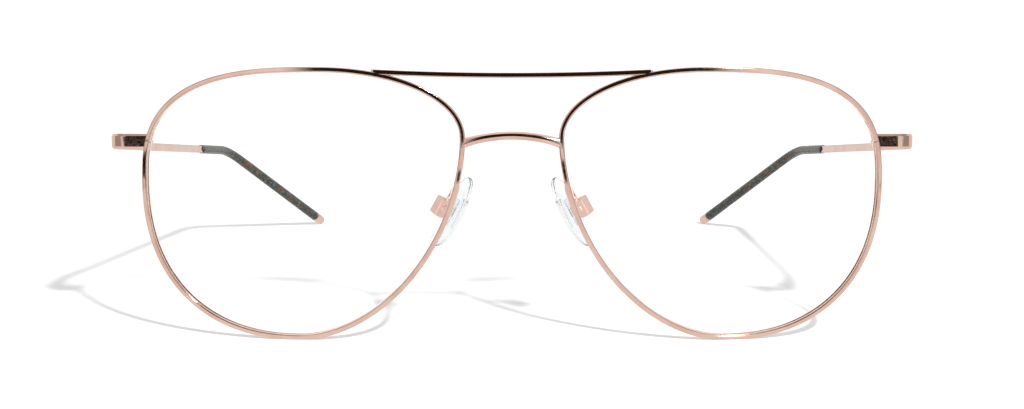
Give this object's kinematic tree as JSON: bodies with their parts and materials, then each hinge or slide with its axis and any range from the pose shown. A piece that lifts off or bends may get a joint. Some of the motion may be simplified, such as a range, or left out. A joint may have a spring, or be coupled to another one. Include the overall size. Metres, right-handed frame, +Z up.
{
  "type": "aviator spectacles",
  "caption": "Thin wire aviator glasses frame with a straight top bar over an arched bridge, clear lenses, hinged folding temples with dark sleeved tips, and rocking nose pads.",
  "frame": {"origin": "on the surface that the rims and the temple tips stand on, under the centre of the whole box", "axes": "+X to the wearer's left across the width, -Y out of the front of the lenses, +Z up"},
  "size_m": [0.1404, 0.1326, 0.0477],
  "materials": {
    "rose_gold": "polished",
    "screws": "polished",
    "lens": "polished",
    "pad_insert": "gloss",
    "pad_silicone": "gloss",
    "tip_acetate": "gloss"
  },
  "bodies": {
    "front": {"rim_left": "rose_gold", "lens_left": "lens", "top_bar": "rose_gold", "bridge": "rose_gold", "end_piece_left": "rose_gold", "rim_lock_upper_left": "rose_gold", "rim_lock_lower_left": "rose_gold", "rim_lock_screw_left": "screws", "hinge_front_left": "rose_gold", "hinge_screw_left": "screws", "nose_pad_arm_left": "rose_gold", "nose_pad_box_left": "rose_gold", "nose_pad_screw_left": "screws", "rim_right": "rose_gold", "lens_right": "lens", "end_piece_right": "rose_gold", "rim_lock_upper_right": "rose_gold", "rim_lock_lower_right": "rose_gold", "rim_lock_screw_right": "screws", "hinge_front_right": "rose_gold", "hinge_screw_right": "screws", "nose_pad_arm_right": "rose_gold", "nose_pad_box_right": "rose_gold", "nose_pad_screw_right": "screws"},
    "temple_left": {"temple_left": "rose_gold", "temple_tip_left": "tip_acetate", "tip_end_cap_left": "rose_gold", "hinge_temple_left": "rose_gold"},
    "temple_right": {"temple_right": "rose_gold", "temple_tip_right": "tip_acetate", "tip_end_cap_right": "rose_gold", "hinge_temple_right": "rose_gold"},
    "nose_pad_left": {"nose_pad_left": "pad_silicone", "nose_pad_insert_left": "pad_insert"},
    "nose_pad_right": {"nose_pad_right": "pad_silicone", "nose_pad_insert_right": "pad_insert"}
  },
  "joints": [
    {"name": "temple_left_fold", "type": "hinge", "parent": "front", "child": "temple_left", "pos_m": [0.06785, -0.05478, 0.03381], "axis": [0, 0.1336, 0.991], "range_deg": [0, 79]},
    {"name": "temple_right_fold", "type": "hinge", "parent": "front", "child": "temple_right", "pos_m": [-0.06785, -0.05478, 0.03381], "axis": [0, -0.1336, -0.991], "range_deg": [0, 70]},
    {"name": "nose_pad_left_rock", "type": "hinge", "parent": "front", "child": "nose_pad_left", "pos_m": [0.0121, -0.05836, 0.02258], "axis": [0.3714, 0.9063, 0.2017], "range_deg": [-10, 10]},
    {"name": "nose_pad_right_rock", "type": "hinge", "parent": "front", "child": "nose_pad_right", "pos_m": [-0.0121, -0.05836, 0.02258], "axis": [-0.3714, 0.9063, 0.2017], "range_deg": [-10, 10]}
  ]
}
